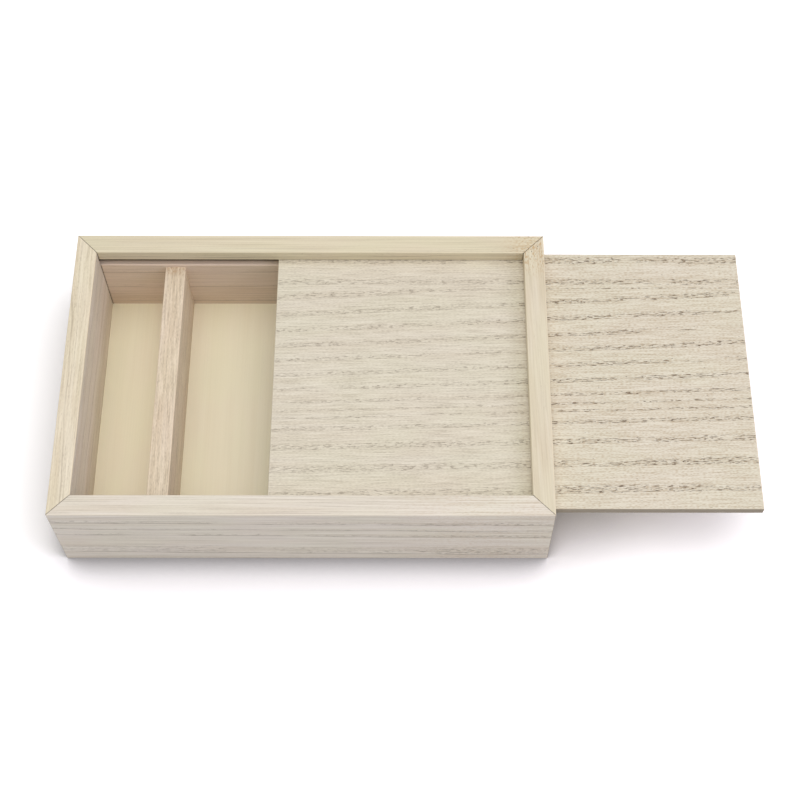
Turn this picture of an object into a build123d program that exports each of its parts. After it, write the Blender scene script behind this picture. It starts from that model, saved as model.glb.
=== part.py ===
from build123d import *
import os

# Photo storage box: four mitred wooden boards round a thin base, a divider that makes a
# narrow side bay, and a thin lid. The lid runs in grooves in the front and back boards,
# and it leaves through a slot between the right wall and the rail above it.
#
# Millimetres. X runs along the box towards the slot, Y towards the back and Z up.
# The origin is the middle of the underside.

# ---- Box ------------------------------------------------------------------------------
box_length = 229.0
box_depth = 150.0
box_height = 51.0
wall = 10.0             # thickness of the four wall boards
arris = 0.5             # sanding radius along the boards' long edges
upright_arris = 0.6     # sanding radius down the four outer corners

# ---- Sliding lid and the grooves that it runs in --------------------------------------
lid_thickness = 4.0
lid_bite = 3.9          # how far each long edge of the lid reaches into its groove
lid_play = 0.4          # clearance above the lid and below it
lid_side_play = 0.3     # clearance between the lid's long edge and the end of the groove
lip_height = 6.6        # wood left above the groove
finger_lip = 7.0        # how far the shut lid stands out past the right end
lid_open = 88.5         # how far the lid's inner end stands from the left wall

# ---- Base panel -----------------------------------------------------------------------
base_thickness = 3.0
base_bite = 5.0         # how far the rebate for the panel reaches in under each wall
base_gap = 0.2          # glue gap between the panel's edge and the rebate

# ---- Divider --------------------------------------------------------------------------
side_bay = 32.0         # clear width of the narrow bay at the left
divider_thickness = 10.0
divider_drop = 2.0      # how far the divider stops below the ledge that carries the lid

# ---- Heights and planes that follow ---------------------------------------------------
groove_depth = lid_bite + lid_side_play
groove_height = lid_thickness + 2 * lid_play
lip_underside = box_height - lip_height
ledge = lip_underside - groove_height
left_inner_face = -box_length / 2 + wall
inner_depth = box_depth - 2 * wall

# Each wall is drawn at the front and turned to its side, in quarter turns from above.
FRONT, RIGHT, BACK, LEFT = range(4)
CORNER = (Align.MIN, Align.MIN)
STANDING = (Align.CENTER, Align.CENTER, Align.MIN)
SNAP = 1e-4


def board_section(bottom, top):
    """Section of a wall, with x inwards from its outer face and y up from the underside."""
    return Pos(0, bottom) * Rectangle(wall, top - bottom, align=CORNER)


def base_rebate():
    """What the base panel's seat takes out of a wall's section."""
    return Pos(wall - base_bite, 0) * Rectangle(base_bite, base_thickness, align=CORNER)


def lid_groove():
    """What the lid's groove takes out of a wall's section."""
    return Pos(wall - groove_depth, ledge) * Rectangle(groove_depth, groove_height, align=CORNER)


def sanded(section):
    """Round the corners of a wall's section that a hand can reach."""
    def within_reach(corner):
        outside = corner.X < SNAP
        inside = corner.X > wall - SNAP and corner.Y > base_thickness + SNAP
        return outside or inside

    return fillet(section.vertices().filter_by(within_reach), arris)


def mitred_board(section, side):
    """Run a wall's section along one side of the box and mitre it to its neighbours."""
    along_x = side in (FRONT, BACK)
    span, reach = (box_length, box_depth) if along_x else (box_depth, box_length)
    half = span / 2
    moulding = extrude(Plane.YZ * section, half, both=True)
    mitres = Polygon((-half, 0), (half, 0), (half - wall, wall), (wall - half, wall), align=None)
    board = moulding & extrude(mitres, box_height)
    in_place = Rot(0, 0, 90 * side) * Pos(0, -reach / 2, 0) * board
    outline = extrude(RectangleRounded(box_length, box_depth, upright_arris), box_height)
    return in_place & outline


def long_wall(side):
    """Front or back board: full height, rebated for the base and grooved for the lid."""
    return mitred_board(sanded(board_section(0, box_height) - base_rebate() - lid_groove()), side)


def end_wall(side, top):
    """Left or right board: rebated for the base and plain above it."""
    return mitred_board(sanded(board_section(0, top) - base_rebate()), side)


def top_rail():
    """Strip that bridges the slot at the right end, level with the lips over the grooves."""
    return mitred_board(sanded(board_section(lip_underside, box_height)), RIGHT)


def base_panel():
    """Thin panel let into the walls' rebates, flush with the underside."""
    margin = 2 * (wall - base_bite + base_gap)
    return Box(box_length - margin, box_depth - margin, base_thickness, align=STANDING)


def divider():
    """Upright board between the long walls, low enough for the lid to pass over."""
    height = ledge - divider_drop - base_thickness
    board = Box(divider_thickness, inner_depth, height, align=STANDING)
    board = fillet(board.edges().group_by(Axis.Z)[-1].filter_by(Axis.Y), arris)
    return Pos(left_inner_face + side_bay + divider_thickness / 2, 0, base_thickness) * board


def sliding_lid():
    """Plain board that runs in the grooves, sanded all round."""
    length = box_length - wall + finger_lip
    board = Box(length, inner_depth + 2 * lid_bite, lid_thickness, align=STANDING)
    board = fillet(board.edges(), arris)
    return Pos(left_inner_face + lid_open + length / 2, 0, ledge + lid_play) * board


pieces = {
    "front_wall": long_wall(FRONT),
    "back_wall": long_wall(BACK),
    "left_wall": end_wall(LEFT, box_height),
    "right_wall": end_wall(RIGHT, ledge),
    "right_top_rail": top_rail(),
    "base_panel": base_panel(),
    "divider": divider(),
    "sliding_lid": sliding_lid(),
}

os.makedirs("parts", exist_ok=True)
for name, piece in pieces.items():
    export_step(piece, f"parts/{name}.step")
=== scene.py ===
import math
from dataclasses import dataclass

import bmesh
import bpy
from bpy.props import FloatProperty, FloatVectorProperty, IntProperty, PointerProperty
from bpy.types import Operator, Panel, PropertyGroup
from mathutils import Matrix, Vector


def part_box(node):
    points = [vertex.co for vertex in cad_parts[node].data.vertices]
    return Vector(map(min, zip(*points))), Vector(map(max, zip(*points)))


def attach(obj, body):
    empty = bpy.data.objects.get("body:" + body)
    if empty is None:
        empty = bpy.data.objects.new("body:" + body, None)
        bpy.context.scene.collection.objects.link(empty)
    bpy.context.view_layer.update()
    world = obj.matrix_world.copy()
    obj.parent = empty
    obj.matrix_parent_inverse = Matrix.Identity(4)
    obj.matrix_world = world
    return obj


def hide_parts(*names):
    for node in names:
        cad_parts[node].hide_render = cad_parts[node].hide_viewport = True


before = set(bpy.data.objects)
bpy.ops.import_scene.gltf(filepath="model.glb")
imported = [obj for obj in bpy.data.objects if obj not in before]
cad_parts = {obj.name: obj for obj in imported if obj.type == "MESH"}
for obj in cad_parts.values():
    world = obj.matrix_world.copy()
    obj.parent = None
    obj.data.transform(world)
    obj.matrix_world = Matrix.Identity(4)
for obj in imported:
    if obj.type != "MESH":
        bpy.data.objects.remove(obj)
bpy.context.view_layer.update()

bl_info = {
    "name": "Photo storage box",
    "version": (1, 0, 0),
    "blender": (4, 5, 0),
    "location": "3D View > Sidebar > Photo box",
    "description": "Boards, divider, base and sliding lid of a small mitred box in pale wood",
    "category": "Add Mesh",
}

MM = 0.001
UP = Vector((0, 0, 1))
RIGHT = Vector((1, 0, 0))
REAR = Vector((0, 1, 0))
HAIR = 1e-6              # two places nearer than this are the same place
PARALLEL = 0.999         # cosine above which two directions are the same
CORNER_ANGLE = 1.0       # turn, in radians, above which two faces meet at a corner
SMOOTH_ANGLE = math.radians(35)   # turn below which they are shaded as one
MITRE_ANGLE = math.radians(45)
CORNER_FACETS = 2        # facets of an outer corner on each of its two boards
SANDED = "sanded"        # attribute that marks the faces of sanded edges

# ---- What the frame says ---------------------------------------------------------------
FRONT_LOW, FRONT_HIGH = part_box("front_wall")
REAR_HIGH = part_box("back_wall")[1]
LEFT_LOW, LEFT_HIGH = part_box("left_wall")
RIGHT_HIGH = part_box("right_wall")[1]
PANEL_LOW, PANEL_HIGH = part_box("base_panel")
DIVIDER_LOW, DIVIDER_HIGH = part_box("divider")
LID_LOW, LID_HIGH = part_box("sliding_lid")

BOX_LENGTH = RIGHT_HIGH.x - LEFT_LOW.x
BOX_DEPTH = REAR_HIGH.y - FRONT_LOW.y
BOX_HEIGHT = FRONT_HIGH.z
WALL = LEFT_HIGH.x - LEFT_LOW.x
LEDGE = RIGHT_HIGH.z                          # where the lid's grooves begin
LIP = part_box("right_top_rail")[0].z           # and where they end
BASE_TOP = PANEL_HIGH.z


# ---- Sizes and colours that a user would change ------------------------------------------
def length(name, description, default):
    """A length in metres that the sidebar shows in the scene's unit."""
    return FloatProperty(name=name, description=description, default=default, min=0,
                         precision=5, unit="LENGTH")


def angle(name, description, degrees):
    """An angle, given here in degrees."""
    return FloatProperty(name=name, description=description, default=math.radians(degrees),
                         subtype="ANGLE")


def colour(name, description, default):
    """A colour that the sidebar shows as a swatch."""
    return FloatVectorProperty(name=name, description=description, default=default, min=0, max=1,
                               size=3, subtype="COLOR")


def number(name, description, default, most=1.0, unit="NONE"):
    """A number from nought up to the most that makes sense."""
    return FloatProperty(name=name, description=description, default=default, min=0, max=most, unit=unit)


class BoardSizes(PropertyGroup):
    """How the boards are cut, joined and sanded."""
    arris: length("Arris", "Sanding radius along the edges that a hand can reach", 0.5 * MM)
    corner: length("Corner", "Sanding radius down the four outer corners", 0.6 * MM)
    facets: IntProperty(name="Facets", description="Facets across a sanded edge", default=4, min=1)
    panel_facets: IntProperty(name="Panel facets", description="Facets across the base panel's eased edges",
                              default=2, min=1)
    slice: length("Slice", "Length of the slices that a board is divided into", 5 * MM)
    panel_gap: length("Panel gap", "Glue gap between the base panel and its rebate", 0.2 * MM)
    lid_side_play: length("Lid side play", "Clearance from the lid's edge to the groove", 0.3 * MM)
    joint: length("Joint", "Half the gap of a mitre at the outside of the box", 0.03 * MM)
    joint_inside: length("Joint inside", "Half the gap of a mitre at the inside of the box", 0.07 * MM)


class WoodColours(PropertyGroup):
    """The pale wood of each board and the smoother veneer of the base."""
    front: colour("Front board", "Wood of the front board", (0.74, 0.675, 0.575))
    rear: colour("Rear board", "Wood of the rear board", (0.718, 0.643, 0.475))
    left: colour("Left board", "Wood of the left board", (0.77, 0.68, 0.52))
    right: colour("Right board", "Wood of the right board and its rail", (0.72, 0.64, 0.49))
    divider: colour("Divider", "Wood of the divider", (0.725, 0.605, 0.46))
    lid: colour("Lid", "Wood of the sliding lid", (0.70, 0.64, 0.52))
    veneer: colour("Veneer", "Smooth face of the base panel", (0.94, 0.86, 0.665))
    pores: colour("Pores", "Inside of the open pores", (0.13, 0.085, 0.05))
    glue: colour("Glue", "Glue line of a mitre", (0.13, 0.10, 0.07))


class StageLook(PropertyGroup):
    """The floor, the light and the camera."""
    sky: number("Sky", "Strength of the even light from all round", 0.5, 4)
    key: number("Key", "Power of the large soft lamp overhead", 10.6, 100, "POWER")
    fill: number("Fill", "Power of the lamp at the right", 6.6, 100, "POWER")
    floor: number("Floor", "How much light the floor gives back", 0.88)
    floor_seen: number("Floor seen", "How bright the floor is to the camera", 1.5, 4)
    floor_size: length("Floor size", "Length of the floor's sides", 3.0)
    floor_tint: colour("Floor tint", "Tint of the floor to the camera", (0.985, 0.975, 1.0))
    contact: length("Contact", "How far a close shadow reaches over the floor", 22 * MM)
    contact_left: number("Contact left", "What that shadow leaves of the floor's tone", 0.27)
    halo: length("Halo", "How far the faint shadow round it reaches", 50 * MM)
    halo_depth: number("Halo depth", "How dark that faint shadow is", 0.9)
    camera_place: FloatVectorProperty(name="Camera place", description="Where the camera stands",
                                      default=(0.048325, -0.354066, 0.689651), size=3,
                                      subtype="TRANSLATION", unit="LENGTH")
    heading: angle("Heading", "Camera's turn about the upright", -0.368)
    tilt: angle("Tilt", "Camera's angle away from straight down", 27.363)
    roll: angle("Roll", "Camera's turn about its own axis", 0.395)
    lens: FloatProperty(name="Lens", description="Focal length", default=69.865, unit="CAMERA")
    shift: FloatVectorProperty(name="Shift", description="Shift of the picture, right and up",
                               default=(-0.01673, 0.01678), size=2)


# ---- Modelling with edit-mode tools --------------------------------------------------------
def deselect():
    """Leave edit mode and let go of everything."""
    if bpy.context.object and bpy.context.object.mode == "EDIT":
        bpy.ops.object.mode_set(mode="OBJECT")
    bpy.ops.object.select_all(action="DESELECT")


def slab(name, low, high):
    """A plain block from corner to corner, ready to be shaped in edit mode."""
    deselect()
    low, high = Vector(low), Vector(high)
    bpy.ops.mesh.primitive_cube_add(size=1, location=(low + high) / 2, scale=high - low)
    piece = bpy.context.object
    piece.name = piece.data.name = name
    bpy.ops.object.transform_apply(location=True, rotation=True, scale=True)
    bpy.ops.object.mode_set(mode="EDIT")
    bpy.ops.mesh.select_all(action="DESELECT")
    return piece


def select(piece, kind, wanted):
    """In edit mode, select just the faces, edges or vertices that are wanted."""
    bpy.context.tool_settings.mesh_select_mode = (kind == "verts", kind == "edges", kind == "faces")
    mesh = bmesh.from_edit_mesh(piece.data)
    mesh.normal_update()
    for part in [*mesh.verts, *mesh.edges, *mesh.faces]:
        part.select = False
    chosen = [part for part in getattr(mesh, kind) if wanted(part)]
    if not chosen:
        raise RuntimeError(f"nothing to select on {piece.name}")
    for part in chosen:
        part.select_set(True)
    bmesh.update_edit_mesh(piece.data)


def middle(part):
    """Middle of a face, an edge or a vertex."""
    corners = part.verts if hasattr(part, "verts") else [part]
    return sum((corner.co for corner in corners), Vector()) / len(corners)


def runs_along(edge, way):
    """Whether an edge runs in that direction."""
    span = edge.verts[1].co - edge.verts[0].co
    return abs(span.normalized().dot(way)) > PARALLEL


def is_corner(edge):
    """Whether two faces meet at a corner here."""
    return len(edge.link_faces) == 2 and edge.calc_face_angle() > CORNER_ANGLE


def divide(piece, way, pieces):
    """Cut a block into equal slices across one direction."""
    select(piece, "edges", lambda edge: runs_along(edge, way))
    bpy.ops.mesh.subdivide(number_cuts=max(1, round(pieces) - 1))


def cut(point, normal, trim=False):
    """Cut everything along a plane, and trim what lies beyond it if asked."""
    bpy.ops.mesh.select_all(action="SELECT")
    bpy.ops.mesh.bisect(plane_co=point, plane_no=normal, use_fill=trim, clear_outer=trim,
                        threshold=HAIR / 10)
    bpy.ops.mesh.select_all(action="DESELECT")


def round_edges(piece, radius, facets, wanted):
    """Sand the wanted edges round."""
    select(piece, "edges", wanted)
    bpy.ops.mesh.bevel(offset=radius, segments=facets, profile=0.5, affect="EDGES",
                       clamp_overlap=True)
    mesh = bmesh.from_edit_mesh(piece.data)
    sanded = mesh.faces.layers.float.get(SANDED) or mesh.faces.layers.float.new(SANDED)
    for face in mesh.faces:
        if face.select:
            face[sanded] = 1.0
    bmesh.update_edit_mesh(piece.data)


def finish_piece(piece, body, node, material):
    """Smooth the sanded edges, keep the flats flat, and join the piece to the frame."""
    bpy.ops.mesh.select_all(action="SELECT")
    bpy.ops.mesh.normals_make_consistent(inside=False)
    bpy.ops.object.mode_set(mode="OBJECT")
    bpy.ops.object.shade_smooth_by_angle(angle=SMOOTH_ANGLE)
    weighted = piece.modifiers.new("Flat faces", "WEIGHTED_NORMAL")
    weighted.keep_sharp = True
    bpy.ops.object.modifier_apply(modifier=weighted.name)
    piece.data.materials.append(material)
    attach(piece, body)
    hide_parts(node)


@dataclass
class Side:
    """One side of the box: which way its board runs, and which way is inwards."""
    along: Vector
    inward: Vector

    @property
    def half(self):
        """Half the board's length, measured between its outer corners."""
        return (BOX_LENGTH if self.along.x else BOX_DEPTH) / 2

    @property
    def reach(self):
        """How far the board's outer face is from the middle of the box."""
        return (BOX_DEPTH if self.along.x else BOX_LENGTH) / 2

    def place(self, along, inward, up):
        """A point given along the board, inwards from its outer face and up."""
        return self.along * along + self.inward * (inward - self.reach) + UP * up

    def inside(self, point):
        """How far inwards a point lies from the board's outer face."""
        return point.dot(self.inward) + self.reach

    def block(self, name, inward, bottom, top):
        """A block as long as the side and as thick as asked."""
        corners = self.place(-self.half, 0, bottom), self.place(self.half, inward, top)
        return slab(name, [min(pair) for pair in zip(*corners)], [max(pair) for pair in zip(*corners)])


FRONT = Side(RIGHT, REAR)
REAR_SIDE = Side(-RIGHT, -REAR)
LEFT = Side(-REAR, RIGHT)
RIGHT_SIDE = Side(REAR, -RIGHT)


def grow_inwards(piece, side, start, amount, spans):
    """Push the inner face out by an amount, within some spans of height."""
    def wanted(face):
        at = middle(face)
        facing = face.normal.dot(side.inward) > PARALLEL and abs(side.inside(at) - start) < HAIR
        return facing and any(low < at.z < high for low, high in spans)

    select(piece, "faces", wanted)
    bpy.ops.mesh.extrude_region_move(TRANSFORM_OT_translate={"value": side.inward * amount})


def sand_along(piece, side, sizes, lines):
    """Round the long edges that lie on these lines, given inwards and up."""
    def wanted(edge):
        at = middle(edge)
        return runs_along(edge, side.along) and any(
            abs(side.inside(at) - inward) < HAIR and abs(at.z - up) < HAIR for inward, up in lines)

    round_edges(piece, sizes.arris, sizes.facets, wanted)


def mitre(side, sizes):
    """Saw both ends to 45 degrees and sand the outer corners round."""
    for end in (-1, 1):
        outer = side.place(end * (side.half - sizes.joint * math.sqrt(2)), 0, 0)
        inner = side.place(end * (side.half - WALL - sizes.joint_inside * math.sqrt(2)), WALL, 0)
        cut(outer, UP.cross(inner - outer) * -end, trim=True)
        centre = side.place(end * (side.half - sizes.corner), sizes.corner, 0)
        for facet in range(CORNER_FACETS):
            turn = MITRE_ANGLE * (facet + 0.5) / CORNER_FACETS
            away = side.along * (end * math.sin(turn)) - side.inward * math.cos(turn)
            cut(centre + away * sizes.corner, away, trim=True)


def long_wall(name, side, sizes):
    """Front or rear board, rebated for the base panel and grooved for the lid."""
    seat = PANEL_LOW.x - LEFT_LOW.x - sizes.panel_gap
    groove = LID_LOW.y - FRONT_LOW.y - sizes.lid_side_play
    piece = side.block(name, seat, 0, BOX_HEIGHT)
    divide(piece, side.along, 2 * side.half / sizes.slice)
    for level in (BASE_TOP, LEDGE, LIP):
        cut(UP * level, UP)
    grow_inwards(piece, side, seat, WALL - seat, [(BASE_TOP, LEDGE), (LIP, BOX_HEIGHT)])
    grow_inwards(piece, side, seat, groove - seat, [(LEDGE, LIP)])
    sand_along(piece, side, sizes, [(0, 0), (0, BOX_HEIGHT), (WALL, BOX_HEIGHT), (WALL, LIP), (WALL, LEDGE)])
    mitre(side, sizes)
    return piece


def end_wall(name, side, top, sizes):
    """Left or right board, rebated for the base panel and plain above it."""
    seat = PANEL_LOW.x - LEFT_LOW.x - sizes.panel_gap
    piece = side.block(name, seat, 0, top)
    divide(piece, side.along, 2 * side.half / sizes.slice)
    cut(UP * BASE_TOP, UP)
    grow_inwards(piece, side, seat, WALL - seat, [(BASE_TOP, top)])
    sand_along(piece, side, sizes, [(0, 0), (0, top), (WALL, top)])
    mitre(side, sizes)
    return piece


# ---- Shader maths ------------------------------------------------------------------------------
class Number:
    """A number that a shader works out, written in sums like any other number."""

    def __init__(self, finish, socket):
        self.finish, self.socket = finish, socket

    def maths(self, operation, *values):
        """One step of arithmetic."""
        node = self.finish.node("ShaderNodeMath", {"operation": operation}, dict(enumerate(values)))
        return Number(self.finish, node.outputs[0])

    def __add__(self, other): return self.maths("ADD", self, other)
    def __radd__(self, other): return self.maths("ADD", other, self)
    def __sub__(self, other): return self.maths("SUBTRACT", self, other)
    def __rsub__(self, other): return self.maths("SUBTRACT", other, self)
    def __mul__(self, other): return self.maths("MULTIPLY", self, other)
    def __rmul__(self, other): return self.maths("MULTIPLY", other, self)
    def __truediv__(self, other): return self.maths("DIVIDE", self, other)
    def __abs__(self): return self.maths("ABSOLUTE", self)

    def part(self):
        """What is left above the whole number below."""
        return self.maths("FRACT", self)

    def bend(self):
        """From -1 to 1, in a smooth step at nought."""
        return self.maths("TANH", self)

    def rise(self, low, high):
        """From 0 at low to 1 at high, smoothly."""
        node = self.finish.node("ShaderNodeMapRange", {"interpolation_type": "SMOOTHSTEP"},
                                {"Value": self, "From Min": low, "From Max": high})
        return Number(self.finish, node.outputs[0])


class Finish:
    """The nodes of a material, or of the light from all round."""

    def __init__(self, owner):
        owner.use_nodes = True
        self.owner = owner
        self.tree = owner.node_tree
        self.tree.nodes.clear()

    def node(self, kind, settings=None, values=None):
        """A node with its settings, then the values or links of its sockets."""
        node = self.tree.nodes.new(kind)
        for setting, value in (settings or {}).items():
            setattr(node, setting, value)
        for socket, value in (values or {}).items():
            value = value.socket if isinstance(value, Number) else value
            if isinstance(value, bpy.types.NodeSocket):
                self.tree.links.new(value, node.inputs[socket])
            else:
                node.inputs[socket].default_value = value
        return node

    def split(self, vector):
        """The three numbers of a vector."""
        node = self.node("ShaderNodeSeparateXYZ", values={"Vector": vector})
        return [Number(self, output) for output in node.outputs]

    def join(self, *numbers):
        """Three numbers as a vector."""
        return self.node("ShaderNodeCombineXYZ", values=dict(enumerate(numbers))).outputs[0]

    def noise(self, vector, detail=2.0, roughness=0.5):
        """Soft cloudy noise, about 0 to 1, one cloud to the unit."""
        values = {"Vector": vector, "Scale": 1.0, "Detail": detail, "Roughness": roughness}
        return Number(self, self.node("ShaderNodeTexNoise", values=values).outputs[0])

    def mix(self, share, first, second, tint=None):
        """Some of the second colour over the first, tinted if asked."""
        if tint:
            second = self.blend("MULTIPLY", 1.0, second, tint)
        return self.blend("MIX", share, first, second)

    def blend(self, kind, share, first, second):
        """Two colours put together in one of the Mix node's ways."""
        first, second = [each if isinstance(each, bpy.types.NodeSocket) else (*each, 1)
                         for each in (first, second)]
        return self.node("ShaderNodeMix", {"data_type": "RGBA", "blend_type": kind},
                         {0: share, 6: first, 7: second}).outputs[2]

    def seen(self):
        """Whether a ray shows what it meets: one from the camera, from gloss or through glass."""
        paths = self.node("ShaderNodeLightPath").outputs
        straight, glossy, through = (
            Number(self, paths[kind]) for kind in ("Is Camera Ray", "Is Glossy Ray", "Is Transmission Ray"))
        return straight.maths("MAXIMUM", straight.maths("MAXIMUM", straight, glossy), through)

    def surface(self, colour, roughness, bump, specular):
        """The surface itself."""
        shader = self.node("ShaderNodeBsdfPrincipled", values={
            "Base Color": colour, "Roughness": roughness, "Normal": bump,
            "Specular IOR Level": specular})
        self.node("ShaderNodeOutputMaterial", values={"Surface": shader.outputs[0]})
        return self.owner


# ---- Wood --------------------------------------------------------------------------------------
@dataclass
class Cut:
    """How one board was sawn from its log. Lengths are in millimetres."""
    turn: int = 0               # quarter turns from the X axis to the board's grain
    shift: tuple = (0, 0, 0)    # where in the log the board comes from
    lean: float = 0.3           # angle at which the yearly rings cross the board's section
    rise: float = 0.03          # how much the rings climb for each millimetre along the board
    spacing: float = 9.0        # between one year's ring and the next
    first: float = 0.0          # which ring comes first, in years
    widen: tuple = (0, 900)     # where the rings are closest, and how soon they widen beside it
    crowd: tuple = (0, 0, 9)    # extra rings, the place where they crowd, and how widely
    fan: float = 0.0            # how much more the rings climb on one side than on the other
    calm: tuple = (0, 1, 0.0)   # from where to where across it the rings level out, and by how much apart
    wander: float = 1.5         # how far a ring strays from its line
    border: float = 0.1         # how dark the line between two years is
    pores: float = 0.6          # how dark the pores are
    rows: float = 0.8           # how thickly pores stand in the early wood of each year
    strays: float = 0.08        # and between those rows
    fibres: float = 0.5         # strength of the fine lines along the grain
    reach: float = 24.0         # how long they are
    thick: float = 0.45         # and how thick
    grit: float = 0.15          # share of much shorter flecks among them
    bands: float = 1.0          # strength of the broad soft bands
    open: tuple = (0, 1, 0.0)   # from where to where along it the grain opens, and how much more
    shade_tint: tuple = (1, 1, 1)    # painted shade: tint of the wood lower down, where its faces lie in shade
    under: float = 1.0          # and how far below the top of the box that tint begins


@dataclass
class Tint:
    """How something differs from a board's own tone, and how much of that shows at the most."""
    by: tuple
    share: float = 1.0

    def of(self, tone):
        """That tone, with its red, green and blue made stronger or weaker."""
        return tuple(part * by for part, by in zip(tone, self.by))


PALE_BAND, DARK_BAND = Tint((1.05, 1.06, 1.09)), Tint((0.96, 0.94, 0.91))
WARM_CLOUD = Tint((1.0, 1.035, 0.99), share=0.5)
EARLY_WOOD = Tint((0.80, 0.78, 0.76), share=0.04)
PALE_FIBRE, DARK_FIBRE = Tint((1.32, 1.36, 1.42)), Tint((0.50, 0.46, 0.42))
YEAR_LINE = Tint((0.45, 0.40, 0.36))
BROWN_FLECK = Tint((0.80, 0.66, 0.50), share=0.3)
# painted highlight: the sanded edges made paler, as where they catch the light
EDGE_HIGHLIGHT = Tint((1.22, 1.22, 1.2), share=0.35)
# painted shade on the lid's long edges, whose side faces lie in shadow
EDGE_SHADE = Tint((0.34, 0.31, 0.28), share=0.9)

# Sizes in the grain, in millimetres. Pairs are along it and across it.
WAVER = (45, 11, 40)         # slow straying of the rings: along, across and beside them
PATCH = (24, 9)              # stretches with pores and without: along and beside the rings
BAND = (130, 4)              # broad soft bands
CLOUD = (38, 16)             # clouds of a warmer tone
PORE = (1.5, 0.46)           # one open pore
PORE_LINE = (3.2, 0.5)       # the fine lines that a row of pores is made of
GRIT = (1.4, 0.4)            # short flecks among the fibres
YEAR_LINE_AT = 0.25          # from the turn of the year to the middle of the line after it
YEAR_LINE_HALF = 0.4         # and from there to where that line has faded

# Where things begin and end. Noise runs from about 0 to 1.
EARLY = (0.05, 0.16, 0.36)   # parts of a year after which all its pores are there, fade and are gone
PATCHES_A_YEAR = 1.9         # how soon those stretches change from one year to the next
PATCH_NOISE = (0.33, 0.55)
BAND_NOISE = (0.28, 0.72)
CLOUD_NOISE = (0.35, 0.65)
LINE_NOISE = (0.52, 0.62)
PALE_NOISE, DARK_NOISE = (0.30, 0.50), (0.50, 0.72)
FLECK_NOISE = (1.0, 1.2)     # of two noises together
PORE_EDGE = (0.2, 0.42)      # from the middle of a pore, in parts of its size

# How strong things are.
PORES_OFF_LINE = 0.05        # chance of a pore between its row's lines
PORE_FADE = 0.1              # how soon a pore shows once there is a chance of it
FAINTEST_PORE = 0.3          # depth of the shallowest pore
LINE_DEPTH = 0.5             # depth of a row's lines beside the pores
HAIR_ROUGHNESS = 0.6
HAIR_STRENGTH = 1.35         # of the fibres where there is no grit
YEAR_LINE_BARE = 0.4         # what is left of a year's line where it has no pores
FIBRE_RELIEF = 0.3           # height of the fibres against the depth of a pore
BUMP, PORE_DEPTH = 0.5, 0.12 * MM   # how strongly the relief shows, and how deep it is
SMOOTHEST, ROUGHER = 0.55, 0.15   # roughness at its least, and how much the fibres add
SPECULAR = 0.35

# Glue, the painted shadow in the groove and the painted shade tint lower down.
TINT_EDGE = 0.7 * MM         # how softly the tint begins
# painted shade on the lid's long edges:
EDGE_SHADE_FROM, EDGE_SHADE_FULL = 0.45 * MM, 0.15 * MM   # distance from the sawn edge
GLUE_LINE = (0.08, 0.26)     # from the middle of the line, in millimetres
GLUE_LUMP = 1.2 * MM         # size of its breaks
GLUE_NOISE = (0.32, 0.55)
GLUE_THIN, GLUE_THICK = 0.25, 0.5             # how dark it is in a break, and how much more beside it
GLUE_INSIDE = 0.6            # how much wider it is at the inner faces
INNER_FACE = (0.5 * MM, 0.1 * MM)             # outwards from those faces: not yet wider, and wide
GROOVE_SHADOW_BELOW = (0.5 * MM, 0.1 * MM)             # under the ledge: the painted shadow begins, and is full
GROOVE_SHADOW_ABOVE = 0.3 * MM                         # and over the lip: it is gone
GROOVE_SHADOW_IN = (2.5 * MM, 2.8 * MM, 5.0 * MM, 6.0 * MM)   # into the groove: begins, full, fades, gone
GROOVE_SHADOW = 0.8                   # how dark it is


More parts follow.
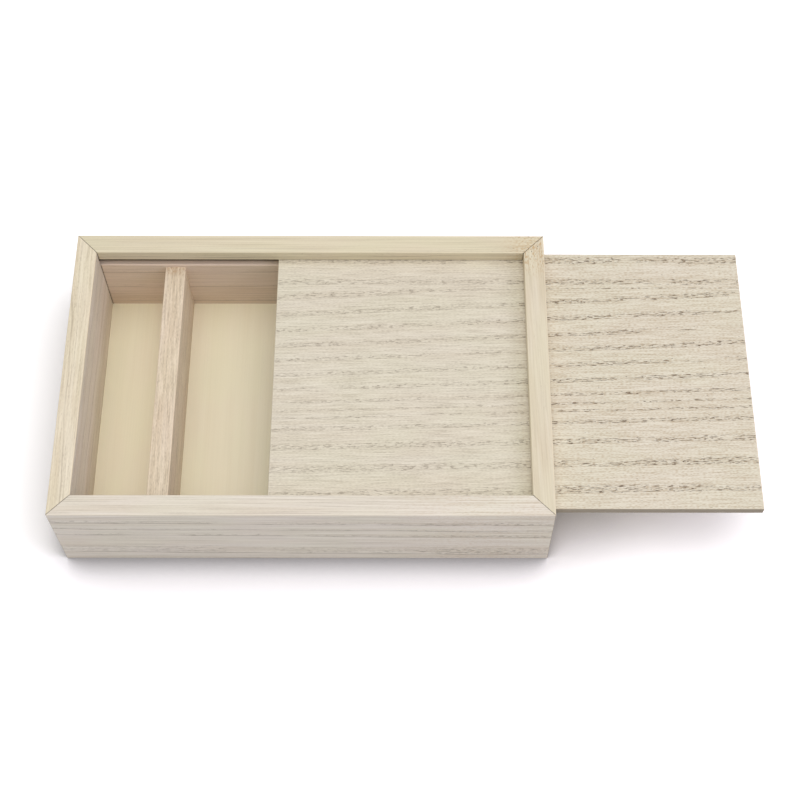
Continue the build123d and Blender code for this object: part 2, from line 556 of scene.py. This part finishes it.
class Wood(Finish):
    """Pale wood with open pores in rows, a row for each year."""

    def __init__(self, name, cut_from, tone, pores):
        super().__init__(bpy.data.materials.new(name))
        self.cut_from, self.tone, self.pores = cut_from, tone, pores
        place = self.node("ShaderNodeTexCoord").outputs["Object"]
        self.x, self.y, self.z = self.split(place)
        laid = self.node("ShaderNodeMapping", values={
            "Vector": place, "Location": cut_from.shift, "Rotation": (0, 0, cut_from.turn * math.pi / 2),
            "Scale": (1 / MM,) * 3}).outputs[0]
        self.along, self.wide, self.deep = self.split(laid)
        self.grow_rings()
        self.open_pores()
        self.draw_fibres()
        self.colour_wood()

    def streaks(self, size, across, beside, detail, roughness=0.5):
        """Noise drawn out along the grain, with what counts across a streak and beside it."""
        long, thick = size
        return self.noise(self.join(self.along / long, across / thick, beside / thick), detail, roughness)

    def grow_rings(self):
        """Find the year that each point grew in: across counts up through the rings, beside runs
        with them."""
        cut_from = self.cut_from
        across = self.wide * math.cos(cut_from.lean) + self.deep * math.sin(cut_from.lean)
        self.beside = self.deep * math.cos(cut_from.lean) - self.wide * math.sin(cut_from.lean)
        waver = [part / size for part, size in zip((self.along, across, self.beside), WAVER)]
        stray = (self.noise(self.join(*waver), detail=3) - 0.5) * (2 * cut_from.wander)
        centre, reach = cut_from.widen
        climb = ((across - centre) / reach).bend() * cut_from.fan + cut_from.rise
        level_from, level_at, kept_apart = cut_from.calm
        calm = self.wide.rise(level_from, level_at) if kept_apart else 0.0
        self.across = across - self.along * (climb * (1 - calm)) + stray + kept_apart * calm
        aside = (self.across - centre) / reach
        wider = aside.maths("SQRT", aside * aside + 1)
        self.ring = wider * cut_from.spacing
        self.year = (aside.maths("LOGARITHM", aside + wider, math.e) * (reach / cut_from.spacing)
                     + cut_from.first)
        extra, crowded_at, breadth = cut_from.crowd
        if extra:
            self.year = self.year + ((self.across - crowded_at) / breadth).bend() * extra
        self.season = self.year.part()

    def open_pores(self):
        """Open the pores, in rows in the early wood of each year, and a few between the rows."""
        cut_from = self.cut_from
        full, fading, gone = EARLY
        early = self.season.rise(0.0, full) * (1 - self.season.rise(fading, gone))
        patch = self.join(self.along / PATCH[0], self.year * PATCHES_A_YEAR, self.beside / PATCH[1])
        self.patches = self.noise(patch).rise(*PATCH_NOISE)
        start, end, more = cut_from.open
        self.opened = self.along.rise(start, end) * more + 1
        self.rows = early * self.patches * cut_from.rows
        self.level = self.wide - self.along * (cut_from.rise / 2)
        lines = self.streaks(PORE_LINE, self.level, self.deep, detail=1).rise(*LINE_NOISE)
        crowding = (self.rows * (lines * (1 - PORES_OFF_LINE) + PORES_OFF_LINE)
                    + self.opened * cut_from.strays)
        long, thick = PORE
        cells = self.node("ShaderNodeTexVoronoi", values={"Scale": 1.0, "Vector": self.join(
            self.along / long, self.across / thick, self.beside / thick)})
        chance, depth, _ = self.split(cells.outputs["Color"])
        shape = 1 - Number(self, cells.outputs["Distance"]).rise(*PORE_EDGE)
        dashes = (shape * (crowding - chance).rise(0.0, PORE_FADE)
                  * (depth * (1 - FAINTEST_PORE) + FAINTEST_PORE))
        lines = lines * self.rows.maths("MINIMUM", self.rows, 1.0) * LINE_DEPTH
        self.depth = 1 - (1 - dashes) * (1 - lines)

    def draw_fibres(self):
        """Draw the fine lines along the grain, with short flecks among them."""
        cut_from = self.cut_from
        self.hairs = self.streaks((cut_from.reach, cut_from.thick), self.level, self.deep, detail=2,
                                  roughness=HAIR_ROUGHNESS)
        self.grit = self.streaks(GRIT, self.level, self.deep, detail=0)
        self.fibres = ((self.hairs - 0.5) * (HAIR_STRENGTH - cut_from.grit)
                       + (self.grit - 0.5) * cut_from.grit + 0.5)

    def lay(self, amount, tint):
        """Lay a tint over the wood, by an amount from 0 to 1."""
        self.shade = self.mix(amount * tint.share, self.shade, tint.of(self.tone))

    def colour_wood(self):
        """Colour the bare wood, from the broad bands to the pores."""
        cut_from = self.cut_from
        bands = self.streaks(BAND, self.across, self.beside, detail=3).rise(*BAND_NOISE)
        self.shade = self.mix((bands - 0.5) * cut_from.bands + 0.5,
                              PALE_BAND.of(self.tone), DARK_BAND.of(self.tone))
        self.lay(self.streaks(CLOUD, self.wide, self.deep, detail=1).rise(*CLOUD_NOISE), WARM_CLOUD)
        self.lay(self.rows * self.opened, EARLY_WOOD)
        self.lay(self.fibres.rise(*DARK_NOISE) * cut_from.fibres, DARK_FIBRE)
        self.lay((1 - self.fibres.rise(*PALE_NOISE)) * cut_from.fibres, PALE_FIBRE)
        line = 1 - abs(self.season * self.ring - YEAR_LINE_AT).rise(0.0, YEAR_LINE_HALF)
        kept = self.patches * (1 - YEAR_LINE_BARE) + YEAR_LINE_BARE
        self.lay(line * cut_from.border * kept, YEAR_LINE)
        self.shade = self.mix(self.depth * (self.opened * cut_from.pores), self.shade, self.pores)
        self.lay((self.hairs + self.grit).rise(*FLECK_NOISE) * (self.opened - 1), BROWN_FLECK)

    def paint_edge_highlights(self):
        """Paint a pale highlight on the sanded edges, where they catch the light."""
        marked = self.node("ShaderNodeAttribute", {"attribute_name": SANDED}).outputs["Fac"]
        self.lay(Number(self, marked), EDGE_HIGHLIGHT)

    def paint_shade_tint_below(self):
        """Paint a shade tint on the wood below its top, where its faces lie in shade."""
        level = BOX_HEIGHT - self.cut_from.under * MM
        below = self.z.rise(level + TINT_EDGE, level - TINT_EDGE)
        self.shade = self.mix(below, self.shade, self.shade, self.cut_from.shade_tint)

    def paint_edge_shade(self, half_width):
        """Paint shade on the long edges, whose sides lie in shadow."""
        self.lay(abs(self.y).rise(half_width - EDGE_SHADE_FROM, half_width - EDGE_SHADE_FULL), EDGE_SHADE)

    def glue_mitres(self, glue):
        """Draw the glue line of each mitre, broken here and there."""
        off = abs(abs(self.x) - abs(self.y) - (BOX_LENGTH - BOX_DEPTH) / 2) / (MM * math.sqrt(2))
        corner = BOX_DEPTH / 2 - WALL
        before, behind = INNER_FACE
        inside = abs(self.y).rise(corner + before, corner + behind)
        line = 1 - (off / (inside * GLUE_INSIDE + 1)).rise(*GLUE_LINE)
        lumps = self.noise(self.join(self.x / GLUE_LUMP, self.y / GLUE_LUMP,
                                     self.deep * (MM / GLUE_LUMP))).rise(*GLUE_NOISE)
        self.shade = self.mix(line * (lumps * GLUE_THICK + GLUE_THIN), self.shade, glue)

    def paint_groove_shadow(self):
        """Paint a dark shadow at the bottom of the lid's groove, under its lip."""
        start, full = (LEDGE - below for below in GROOVE_SHADOW_BELOW)
        within = self.z.rise(start, full) * (1 - self.z.rise(LIP, LIP + GROOVE_SHADOW_ABOVE))
        start, full, fading, gone = (BOX_DEPTH / 2 - WALL + deep for deep in GROOVE_SHADOW_IN)
        bottom = abs(self.y).rise(start, full) * (1 - abs(self.y).rise(fading, gone))
        self.shade = self.mix(within * bottom * GROOVE_SHADOW, self.shade, self.pores)

    def material(self):
        """The finished material, with the pores sunk and the fibres a little rough."""
        relief = self.fibres * -FIBRE_RELIEF - self.depth
        bump = self.node("ShaderNodeBump", values={
            "Strength": BUMP, "Distance": PORE_DEPTH, "Height": relief}).outputs[0]
        return self.surface(self.shade, self.fibres * ROUGHER + SMOOTHEST, bump, SPECULAR)


def wood(name, cut_from, tone, pores, glue=None, grooved=False, half_width=None):
    """The material of one board.

    A glue colour draws the mitres' glue lines. A grooved board has a painted shadow at the bottom of its
    groove. With half its width, a board has painted shade on its long edges."""
    board = Wood(name, cut_from, tone, pores)
    board.paint_edge_highlights()
    board.paint_shade_tint_below()
    if half_width:
        board.paint_edge_shade(half_width)
    if glue:
        board.glue_mitres(glue)
    if grooved:
        board.paint_groove_shadow()
    return board.material()


# ---- Stage -----------------------------------------------------------------------------------------
SENSOR_WIDTH = 36        # millimetres
NEAREST_SEEN = 0.01      # metres before the camera
SHADOW_RAYS = 16         # rays that feel for what stands near a point of the floor
BESIDE_WALL = 0.5        # share of the sky that shows at the foot of a wall


@dataclass
class Lamp:
    """A square soft lamp that looks at the middle of the floor."""
    name: str
    tint: tuple
    size: float              # length of its sides, in metres
    place: tuple

    def hang(self, scene, power):
        """Put the lamp into the scene."""
        light = bpy.data.lights.new(self.name, "AREA")
        light.size, light.energy, light.color = self.size, power, self.tint
        lamp = bpy.data.objects.new(self.name, light)
        scene.collection.objects.link(lamp)
        lamp.location = self.place
        lamp.rotation_euler = (-lamp.location).to_track_quat("-Z", "Y").to_euler()


KEY = Lamp("key", tint=(1.0, 0.99, 0.96), size=1.4, place=(0.05, -0.05, 1.5))
FILL = Lamp("fill", tint=(0.94, 0.86, 1.03), size=0.8, place=(1.35, -0.45, 1.05))


# ---- Operators -----------------------------------------------------------------------------------
class PHOTOBOX_OT_long_walls(Operator):
    """Make the front and rear boards, with the rebate for the base and the groove for the lid"""
    bl_idname = "photobox.long_walls"
    bl_label = "Front and rear boards"

    def execute(self, context):
        sizes, tones = context.scene.photobox_sizes, context.scene.photobox_colours
        front = long_wall("front_board", FRONT, sizes)
        figure = Cut(lean=0.9, rise=-0.01, spacing=4, widen=(-20.4, 3), wander=1.3, border=0.8,
                     pores=0.55, rows=1.0, strays=0.01, fibres=0.3, reach=40, bands=1.3,
                     open=(20, 80, 0.8), shade_tint=(0.935, 0.94, 0.965))
        finish_piece(front, "box", "front_wall",
                     wood("front_wood", figure, tones.front, tones.pores, tones.glue, grooved=True))
        rear = long_wall("rear_board", REAR_SIDE, sizes)
        figure = Cut(shift=(-260, 31, 9), lean=1.1, rise=0.01, spacing=12, border=0.6, pores=0.3, rows=0.5,
                     strays=0.02, fibres=0.22, reach=50, open=(-170, -150, 4), shade_tint=(1.06, 0.97, 1.08),
                     under=9)
        finish_piece(rear, "box", "back_wall",
                     wood("rear_wood", figure, tones.rear, tones.pores, tones.glue, grooved=True))
        return {"FINISHED"}


class PHOTOBOX_OT_end_walls(Operator):
    """Make the left board, the lower right board and the rail over the lid's slot"""
    bl_idname = "photobox.end_walls"
    bl_label = "End boards and rail"

    def execute(self, context):
        sizes, tones = context.scene.photobox_sizes, context.scene.photobox_colours
        left = end_wall("left_board", LEFT, LEFT_HIGH.z, sizes)
        figure = Cut(turn=1, shift=(510, 70, 2), lean=0.9, rise=0.03, spacing=8, border=0.4, pores=0.4,
                     rows=0.5, strays=0.06, fibres=0.3, reach=25, thick=0.7, bands=1.5,
                     grit=0.3, shade_tint=(0.94, 0.955, 1.06))
        finish_piece(left, "box", "left_wall",
                     wood("left_wood", figure, tones.left, tones.pores, tones.glue))
        right = end_wall("right_board", RIGHT_SIDE, LEDGE, sizes)
        figure = Cut(turn=1, shift=(-380, 20, 12), lean=1.1, rise=-0.03, spacing=9, border=0.3, pores=0.5,
                     rows=0.5, strays=0.04, fibres=0.5, reach=50)
        finish_piece(right, "box", "right_wall",
                     wood("right_wood", figure, tones.right, tones.pores, tones.glue))
        rail = RIGHT_SIDE.block("slot_rail", WALL, LIP, BOX_HEIGHT)
        divide(rail, RIGHT_SIDE.along, BOX_DEPTH / sizes.slice)
        sand_along(rail, RIGHT_SIDE, sizes, [(0, LIP), (0, BOX_HEIGHT), (WALL, LIP), (WALL, BOX_HEIGHT)])
        mitre(RIGHT_SIDE, sizes)
        figure = Cut(turn=1, shift=(90, -44, 30), lean=0.7, rise=0.06, spacing=6, border=0.05, pores=0.22,
                     rows=0.3, strays=0.04, fibres=0.14, reach=30, thick=0.8, bands=1.5, open=(42, 22, 5))
        finish_piece(rail, "box", "right_top_rail",
                     wood("rail_wood", figure, tones.right, tones.pores, tones.glue))
        return {"FINISHED"}


class PHOTOBOX_OT_base_panel(Operator):
    """Make the thin veneered panel that is let into the walls"""
    bl_idname = "photobox.base_panel"
    bl_label = "Base panel"

    def execute(self, context):
        sizes, tones = context.scene.photobox_sizes, context.scene.photobox_colours
        panel = slab("base_sheet", PANEL_LOW, PANEL_HIGH)
        divide(panel, RIGHT, (PANEL_HIGH.x - PANEL_LOW.x) / (2 * sizes.slice))
        round_edges(panel, sizes.panel_gap, sizes.panel_facets, is_corner)
        figure = Cut(turn=1, shift=(30, 200, 0), lean=0.25, rise=0.0, spacing=14, border=0.02, pores=0.1,
                     rows=0.15, strays=0.01, fibres=0.03, reach=50, bands=0.3)
        finish_piece(panel, "box", "base_panel",
                     wood("base_veneer", figure, tones.veneer, tones.pores))
        return {"FINISHED"}


class PHOTOBOX_OT_divider(Operator):
    """Make the upright board that parts off the narrow side bay"""
    bl_idname = "photobox.divider"
    bl_label = "Divider"

    def execute(self, context):
        sizes, tones = context.scene.photobox_sizes, context.scene.photobox_colours
        board = slab("bay_divider", DIVIDER_LOW, DIVIDER_HIGH)
        divide(board, REAR, (DIVIDER_HIGH.y - DIVIDER_LOW.y) / sizes.slice)
        round_edges(board, sizes.arris, sizes.facets, lambda edge: runs_along(edge, REAR)
                    and abs(middle(edge).z - DIVIDER_HIGH.z) < HAIR)
        figure = Cut(turn=1, shift=(-70, 140, 55), lean=0.5, rise=0.02, spacing=5, border=0.1, pores=0.35,
                     rows=0.5, strays=0.06, fibres=0.42, reach=15, thick=0.85, bands=1.6, grit=0.35,
                     open=(-129, -134.5, 4))
        finish_piece(board, "box", "divider",
                     wood("divider_wood", figure, tones.divider, tones.pores))
        return {"FINISHED"}


class PHOTOBOX_OT_sliding_lid(Operator):
    """Make the thin board that slides in the grooves"""
    bl_idname = "photobox.sliding_lid"
    bl_label = "Sliding lid"

    def execute(self, context):
        sizes, tones = context.scene.photobox_sizes, context.scene.photobox_colours
        lid = slab("lid_sheet", LID_LOW, LID_HIGH)
        divide(lid, RIGHT, (LID_HIGH.x - LID_LOW.x) / sizes.slice)
        round_edges(lid, sizes.arris, sizes.facets, is_corner)
        figure = Cut(lean=0.35, rise=0.0381, spacing=7.45, first=7.78, widen=(19.6, 43.8),
                     crowd=(0.84, -3.7, 5.2), fan=0.0202, calm=(47.5, 51.5, 2.7), wander=0.6,
                     border=0.1, pores=0.72, rows=2.3, strays=0.025, fibres=0.39, reach=14, grit=0.4,
                     bands=0.5, open=(90, 120, 1.25))
        finish_piece(lid, "lid", "sliding_lid",
                     wood("lid_wood", figure, tones.lid, tones.pores, half_width=LID_HIGH.y))
        return {"FINISHED"}


class PHOTOBOX_OT_stage(Operator):
    """Make the pale floor, the soft light and the camera"""
    bl_idname = "photobox.stage"
    bl_label = "Floor, light and camera"

    def execute(self, context):
        look, scene = context.scene.photobox_stage, context.scene
        deselect()
        bpy.ops.mesh.primitive_plane_add(size=look.floor_size)
        floor = context.object
        floor.name = "floor"
        floor.data.materials.append(self.floor_paper(look))

        scene.world = self.studio(look)

        KEY.hang(scene, look.key)
        FILL.hang(scene, look.fill)

        camera = bpy.data.cameras.new("camera")
        camera.lens, camera.sensor_width, camera.clip_start = look.lens, SENSOR_WIDTH, NEAREST_SEEN
        camera.shift_x, camera.shift_y = look.shift
        stand = bpy.data.objects.new("camera", camera)
        scene.collection.objects.link(stand)
        stand.location = look.camera_place
        turned = (Matrix.Rotation(look.heading, 3, "Z") @ Matrix.Rotation(look.tilt, 3, "X")
                  @ Matrix.Rotation(look.roll, 3, "Z"))
        stand.rotation_euler = turned.to_euler()
        scene.camera = stand
        scene.view_settings.view_transform = "Standard"
        return {"FINISHED"}

    @staticmethod
    def floor_paper(look):
        """White paper that keeps a close soft shadow round whatever stands on it."""
        paper = Finish(bpy.data.materials.new("floor_paper"))

        def open_to_sky(reach):
            """How much of the sky shows past whatever stands within reach."""
            node = paper.node("ShaderNodeAmbientOcclusion", {"samples": SHADOW_RAYS}, {"Distance": reach})
            return Number(paper, node.outputs["AO"])

        near, wide = open_to_sky(look.contact), open_to_sky(look.halo)
        past_wall = near.maths("MAXIMUM", near - BESIDE_WALL, 0.0) / (1 - BESIDE_WALL)
        close = past_wall * (1 - look.contact_left) + look.contact_left
        close = close.maths("MINIMUM", close, (wide - 1) * look.halo_depth + 1)
        seen = paper.seen()
        tone = [seen * (close * (look.floor_seen * tint) - look.floor) + look.floor
                for tint in look.floor_tint]
        shader = paper.node("ShaderNodeBsdfDiffuse", values={"Color": paper.join(*tone)})
        paper.node("ShaderNodeOutputMaterial", values={"Surface": shader.outputs[0]})
        return paper.owner

    @staticmethod
    def studio(look):
        """Even light from all round, seen as plain white."""
        air = Finish(bpy.data.worlds.new("studio"))
        light = air.node("ShaderNodeBackground", values={
            "Color": (1, 1, 1, 1), "Strength": air.seen() * (1 - look.sky) + look.sky})
        air.node("ShaderNodeOutputWorld", values={"Surface": light.outputs[0]})
        return air.owner


class PHOTOBOX_PT_panel(Panel):
    """The box's pieces, with their sizes and colours"""
    bl_idname = "PHOTOBOX_PT_panel"
    bl_label = "Photo storage box"
    bl_space_type = "VIEW_3D"
    bl_region_type = "UI"
    bl_category = "Photo box"

    def draw(self, context):
        for operator in OPERATORS:
            self.layout.operator(operator.bl_idname)
        for group in GROUPS:
            for name in GROUPS[group].__annotations__:
                self.layout.prop(getattr(context.scene, group), name)


GROUPS = {"photobox_sizes": BoardSizes, "photobox_colours": WoodColours, "photobox_stage": StageLook}
OPERATORS = (PHOTOBOX_OT_stage, PHOTOBOX_OT_long_walls, PHOTOBOX_OT_end_walls, PHOTOBOX_OT_base_panel,
             PHOTOBOX_OT_divider, PHOTOBOX_OT_sliding_lid)
CLASSES = (*GROUPS.values(), *OPERATORS, PHOTOBOX_PT_panel)


def register():
    for each in CLASSES:
        bpy.utils.register_class(each)
    for name, group in GROUPS.items():
        setattr(bpy.types.Scene, name, PointerProperty(type=group))


def unregister():
    for name in GROUPS:
        delattr(bpy.types.Scene, name)
    for each in reversed(CLASSES):
        bpy.utils.unregister_class(each)


def main():
    """Make the whole box."""
    register()
    for operator in OPERATORS:
        group, name = operator.bl_idname.split(".")
        getattr(getattr(bpy.ops, group), name)()
    deselect()


if __name__ == "__main__":
    main()
